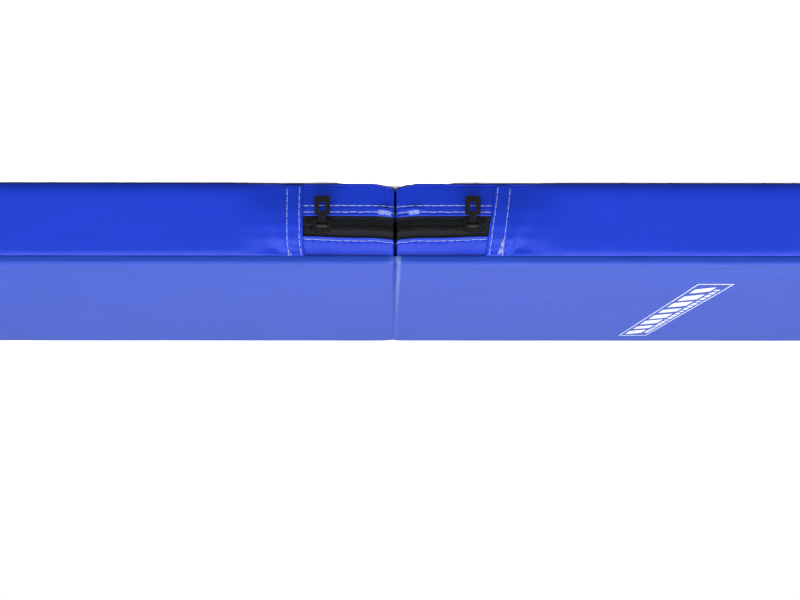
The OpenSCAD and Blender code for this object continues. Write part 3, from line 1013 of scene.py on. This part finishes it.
def close_bottom(piece):
    """Fills the open underside of a block."""
    work = bmesh.new()
    work.from_mesh(piece.data)
    bmesh.ops.holes_fill(work, edges=[e for e in work.edges if e.is_boundary], sides=0)
    bmesh.ops.recalc_face_normals(work, faces=work.faces)
    work.to_mesh(piece.data)
    work.free()


# ---- materials ----

def linear(color):
    """An sRGB colour from 0 to 255, as the linear values that shaders take."""
    channels = [c / 255 for c in color]
    return [c / 12.92 if c <= 0.04045 else ((c + 0.055) / 1.055) ** 2.4 for c in channels] + [1]


def tone(color, factor):
    """A colour made darker or lighter, as the linear values that shaders take."""
    return [c * factor for c in linear(color)[:3]] + [1]


class Nodes:
    """A short way to write the nodes of a material or of the world."""

    def __init__(self, owner):
        owner.use_nodes = True
        self.tree = owner.node_tree
        self.shader = self.tree.nodes.get("Principled BSDF")
        self.place = self.new("ShaderNodeTexCoord").outputs["Object"]

    def new(self, kind, inputs=(), **settings):
        """A node with these inputs and settings."""
        node = self.tree.nodes.new(kind)
        for key, value in settings.items():
            setattr(node, key, value)
        for socket, value in dict(inputs).items():
            self.feed(node.inputs[socket], value)
        return node

    def feed(self, socket, value):
        if isinstance(value, bpy.types.NodeSocket):
            self.tree.links.new(value, socket)
        else:
            socket.default_value = value

    def noise(self, scale, detail=3.0, rough=0.5, place=None):
        return self.new("ShaderNodeTexNoise", {
            "Vector": place or self.place, "Scale": scale, "Detail": detail,
            "Roughness": rough}).outputs["Fac"]

    def wave(self, scale, direction, distortion):
        return self.new("ShaderNodeTexWave", {
            "Vector": self.place, "Scale": scale, "Distortion": distortion},
            bands_direction=direction).outputs["Fac"]

    def spread(self, value, low, high, out_low=0.0, out_high=1.0, curve="LINEAR"):
        return self.new("ShaderNodeMapRange", {
            "Value": value, "From Min": low, "From Max": high, "To Min": out_low,
            "To Max": out_high}, interpolation_type=curve).outputs[0]

    def uneven(self, scale, detail, low, high):
        """A value that wanders between two numbers."""
        return self.spread(self.noise(scale, detail), 0.3, 0.7, low, high)

    def math(self, operation, a, b=0):
        return self.new("ShaderNodeMath", {0: a, 1: b}, operation=operation).outputs[0]

    def mix(self, share, a, b, kind="RGBA"):
        return self.new("ShaderNodeMix", data_type=kind,
                        inputs={"Factor": share, "A": a, "B": b}).outputs["Result"]

    def bump(self, height, depth, under=None):
        """A bump of a real depth in millimetres, over another bump if one is given."""
        over = {"Normal": under} if under else {}
        return self.new("ShaderNodeBump", {"Height": height, "Distance": depth * MM,
                                           **over}).outputs[0]

    def set(self, **values):
        for key, value in values.items():
            self.feed(self.shader.inputs[key.replace("_", " ")], value)


def crease_painted_highlight(m):
    """Where a painted highlight lightens the face: a band beside the crease that fades away
    from the front, and the face beside the crease at its front end, from 0 to 1."""
    x, y, _ = m.new("ShaderNodeSeparateXYZ", {0: m.place}).outputs
    off_band = m.math("ABSOLUTE", m.math("ADD", x, 2.1 * MM))
    beside = m.spread(off_band, 0.3 * MM, 1.9 * MM, 1, 0)
    along = m.spread(y, -HALF_W * MM, 60 * MM, 1, 0.15)
    patchy = m.spread(m.noise(90), 0.25, 0.6, 0.5, 1)
    rim = m.math("MULTIPLY", m.spread(m.math("ABSOLUTE", x), 1.2 * MM, 4.5 * MM, 1, 0),
                 m.spread(x, -0.6 * MM, 0.4 * MM, 1, 0.3))
    end = m.spread(y, -HALF_W * MM, (12 - HALF_W) * MM, 1, 0)
    band = m.math("MULTIPLY", m.math("MULTIPLY", beside, along), patchy)
    return m.math("MAXIMUM", band, m.math("MULTIPLY", rim, end))


def vinyl(m, color, roughness, specular, grain, worn=None):
    """Coated fabric: fine leather grain, a faint woven backing and uneven gloss. The colour
    given for the crease is mixed in beside it as a painted highlight."""
    stretched = m.new("ShaderNodeMapping", {"Vector": m.place, "Scale": (0.35, 1.0, 1.0)})
    streaks = m.spread(m.noise(60, 4, place=stretched.outputs[0]), 0.35, 0.65)
    cloudy = m.spread(m.noise(14), 0.3, 0.7)
    light = [min(c * 1.05 + 0.001, 1) for c in linear(color)[:3]] + [1]
    base = m.mix(m.math("MULTIPLY", cloudy, streaks), tone(color, 0.93), light)
    # Painted highlight: a lighter colour beside the crease stands in for light catching the
    # folded vinyl.
    if worn:
        base = m.mix(crease_painted_highlight(m), base, linear(worn))
    weave = m.math("ADD", m.wave(170, "X", 0.6), m.wave(170, "Z", 0.6))
    woven = m.bump(weave, 0.006, m.bump(m.noise(38, 2), 0.05))
    m.set(Base_Color=base, Specular_IOR_Level=specular,
          Roughness=m.uneven(220, 4, roughness - 0.02, roughness + 0.03),
          Normal=m.bump(m.noise(1300, 3, 0.55), grain, woven))


def woven_tape(m, color):
    """Zip tape: fine ribs along it and a twill across."""
    twill = m.math("MULTIPLY", m.wave(330, "DIAGONAL", 0.3), 0.6)
    height = m.math("ADD", m.wave(520, "Z", 0.2), twill)
    fuzz = m.noise(900, 2)
    m.set(Base_Color=m.mix(m.math("MULTIPLY", height, fuzz), tone(color, 0.55),
                           tone(color, 1.5)),
          Roughness=m.spread(fuzz, 0.3, 0.7, 0.55, 0.8), Specular_IOR_Level=0.15,
          Sheen_Weight=0.05, Sheen_Roughness=0.5, Normal=m.bump(height, 0.12))


def moulded(m, color):
    """Nylon with a slight mould texture."""
    grain = m.noise(700)
    m.set(Base_Color=m.mix(m.spread(grain, 0.3, 0.7), tone(color, 0.8), tone(color, 1.2)),
          Roughness=m.uneven(175, 3, 0.44, 0.58), Specular_IOR_Level=0.22,
          Normal=m.bump(grain, 0.02))


def painted_metal(m, color):
    """Die-cast zinc in black paint, a little brighter where the paint has rubbed thin."""
    blotches = m.spread(m.noise(420, 5, 0.65), 0.56, 0.72)
    m.set(Base_Color=m.mix(blotches, linear(color), linear([c * 1.9 for c in color])),
          Roughness=m.uneven(260, 4, 0.36, 0.52), Specular_IOR_Level=0.22,
          Normal=m.bump(m.noise(520), 0.05))


def sewing_thread(m, color):
    """Twisted polyester thread."""
    twist = m.wave(620, "DIAGONAL", 0.4)
    m.set(Base_Color=m.mix(twist, tone(color, 0.8), linear(color)), Roughness=0.5,
          Specular_IOR_Level=0.4, Sheen_Weight=0.2, Normal=m.bump(twist, 0.12))


def ink(m, color):
    """Screen print with a slightly uneven coat."""
    coat = m.spread(m.noise(160, 4, 0.6), 0.3, 0.7)
    m.set(Base_Color=m.mix(coat, tone(color, 0.86), linear(color)),
          Roughness=m.uneven(300, 3, 0.42, 0.55), Specular_IOR_Level=0.35,
          Normal=m.bump(m.noise(900), 0.02))


def foam_cells(m, color):
    """Open-cell foam."""
    cells = m.new("ShaderNodeTexVoronoi", {"Vector": m.place, "Scale": 520},
                  feature="DISTANCE_TO_EDGE")
    walls = m.spread(cells.outputs["Distance"], 0.0, 0.12)
    m.set(Base_Color=m.mix(walls, linear(color), tone(color, 0.8)), Roughness=0.9,
          Specular_IOR_Level=0.2, Normal=m.bump(walls, -0.3))


def make_material(name, look, color, *values, **more):
    """A material with this name and look."""
    made = bpy.data.materials.new(name)
    look(Nodes(made), color, *values, **more)
    return made


# ---- everything that is built ----

side_vinyl = make_material("side_vinyl", vinyl, (23, 59, 203), 0.3, 0.32, 0.007)
# Painted shade: the face's vinyl is the side's vinyl made darker, to offset the stronger light
# that falls on the top.
face_vinyl = make_material("face_vinyl", vinyl, (18, 61, 171), 0.5, 0.27, 0.03,
                           worn=(100, 120, 182))
base_vinyl = make_material("base_vinyl", vinyl, (17, 47, 170), 0.55, 0.25, 0.05)
tape_cloth = make_material("zip_tape", woven_tape, (37, 39, 47))
coil_nylon = make_material("zip_coil", moulded, (13, 14, 15))
zip_paint = make_material("zip_metal", painted_metal, (15, 16, 18))
# Painted shade: the white thread is given a darker, bluer colour, and the darkening stands in
# for shade on the rows.
thread_with_painted_shade = make_material("thread", sewing_thread, (150, 168, 240))
white_ink = make_material("print", ink, (226, 231, 246))
white_foam = make_material("foam", foam_cells, (226, 224, 216))

face_cover(face_vinyl)
printed_mark(white_ink)
for side in SIDES:
    base_cover(side, base_vinyl)
    side_band(side, side_vinyl)
    for part in ("lower", "upper"):
        facing(side, part, side_vinyl)
        tape(side, part, tape_cloth)
        coil_row(side, part, coil_nylon)
    coil_cords(side, coil_nylon)
    facing_thread(side, thread_with_painted_shade)
    tab_thread(side, thread_with_painted_shade)
    foam_block(side, white_foam)

for name, coat in (("coil_stops", coil_nylon), ("zip_slider", zip_paint),
                   ("zip_pull", zip_paint)):
    for side in SIDES:
        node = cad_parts[f"{name}_{side}"]
        node.data.materials.clear()
        node.data.materials.append(coat)
        soften = node.modifiers.new("soften", "BEVEL")
        soften.width = 0.3 * MM
        soften.segments = 2
        soften.limit_method = "ANGLE"
        soften.angle_limit = math.radians(40)


# ---- floor, light and camera ----

# The floor's lightness in the light it gives to the mat, and how it shows from the middle
# of the mat outwards and under the notch at the fold, where painted light whitens the
# mat's shadow. Distances are in metres.
FLOOR_BOUNCE = 0.13
FLOOR_SHOWN = (0.8, 3.0)
FLOOR_REACH = (0.8, 3.0)
NOTCH = (0, -HALF_W * MM, 0)
NOTCH_REACH = (0.025, 0.057)
# Painted light: the floor under the notch is shown this much brighter, which hides the mat's
# shadow there.
NOTCH_LIT = 40
NOTCH_SQUEEZE = 1.6
# The room's brightness at eye level and overhead.
ROOM_LIGHT = (0.33, 0.8)


def backdrop(m, given, shown):
    """A value for a backdrop: shown where the picture shows it, and given in the light
    that it gives to the mat."""
    ray = m.new("ShaderNodeLightPath").outputs["Is Camera Ray"]
    return m.mix(ray, given, shown, "FLOAT")


def shade_by_distance(m, centre, reach, shades, squeeze=1.0):
    """A value by the distance from a point on the floor, which counts more along X."""
    squeezed = m.new("ShaderNodeVectorMath", {0: m.place, 1: (squeeze, 1, 1)},
                     operation="MULTIPLY").outputs["Vector"]
    distance = m.new("ShaderNodeVectorMath", {0: squeezed, 1: centre},
                     operation="DISTANCE").outputs["Value"]
    return m.spread(distance, *reach, *shades)


def floor():
    """A large round floor that meets the white surroundings unseen, and shows white under
    the notch at the fold too, where the mat shades it: painted light over that shadow."""
    rings = [0.0, 0.4, 0.8, 1.6, 3.2, 8.0, 30.0, 120.0]
    count = 48
    points = [(r * math.cos(2 * math.pi * k / count) / MM,
               r * math.sin(2 * math.pi * k / count) / MM, -0.6)
              for r in rings for k in range(count)]
    piece = make_mesh("floor", points, ring_faces(len(rings), count), merge=1.0)
    if sum(p.normal.z for p in piece.data.polygons) < 0:
        piece.data.flip_normals()
    paint = bpy.data.materials.new("floor")
    m = Nodes(paint)
    m.tree.nodes.remove(m.shader)
    shown = m.math("ADD", shade_by_distance(m, (0, 0, 0), FLOOR_REACH, FLOOR_SHOWN),
                   shade_by_distance(m, NOTCH, NOTCH_REACH, (NOTCH_LIT, 0), NOTCH_SQUEEZE))
    diffuse = m.new("ShaderNodeBsdfDiffuse", {"Color": backdrop(m, FLOOR_BOUNCE, shown)})
    m.feed(m.tree.nodes["Material Output"].inputs["Surface"], diffuse.outputs[0])
    piece.data.materials.append(paint)


def put(name, data, place, ahead, roll=0.0):
    """Adds a light or a camera at a place, looking along a direction."""
    thing = bpy.data.objects.new(name, data)
    thing.location = place
    thing.rotation_mode = "QUATERNION"
    thing.rotation_quaternion = ahead.to_track_quat("-Z", "Y") @ Quaternion((0, 0, 1), roll)
    bpy.context.scene.collection.objects.link(thing)
    return thing


def area_light(name, place, target, size, watts):
    """A soft rectangular light that looks at a point."""
    light = bpy.data.lights.new(name, "AREA")
    light.shape = "RECTANGLE"
    light.size, light.size_y = size
    light.energy = watts
    put(name, light, place, Vector(target) - Vector(place))


def camera():
    """The view from the front. It is upside down, so the camera is rolled over."""
    lens = bpy.data.cameras.new("camera")
    lens.lens = 82.62
    lens.sensor_width = 36
    turn, dip = math.radians(0.37), math.radians(5.72)
    ahead = Vector((-math.sin(turn) * math.cos(dip), math.cos(turn) * math.cos(dip),
                    -math.sin(dip)))
    bpy.context.scene.camera = put("camera", lens, (0.0043, -1.4126, 0.1836), ahead, math.pi)


def surroundings():
    """White all round as a backdrop. What lights the mat is a room, dim at eye level and
    bright overhead."""
    world = bpy.data.worlds.new("studio")
    m = Nodes(world)
    way = m.new("ShaderNodeTexCoord").outputs["Generated"]
    height = m.new("ShaderNodeSeparateXYZ", {0: way}).outputs["Z"]
    room = m.spread(height, 0.05, 0.8, *ROOM_LIGHT, "SMOOTHSTEP")
    background = m.tree.nodes["Background"]
    m.feed(background.inputs["Color"], (1, 1, 1, 1))
    m.feed(background.inputs["Strength"], backdrop(m, room, 1.0))
    bpy.context.scene.world = world


bpy.context.scene.view_settings.view_transform = "Standard"
surroundings()
floor()
area_light("key", (0.3, -1.72, 2.4), (0, 0, 0), (3.0, 1.4), 102)
area_light("strip", (0.0, -3.0, 0.68), (0, -0.3, 0.03), (4.0, 0.5), 24)
area_light("back", (-0.6, 1.7, 2.6), (0, 0, 0), (2.4, 1.0), 30)
camera()
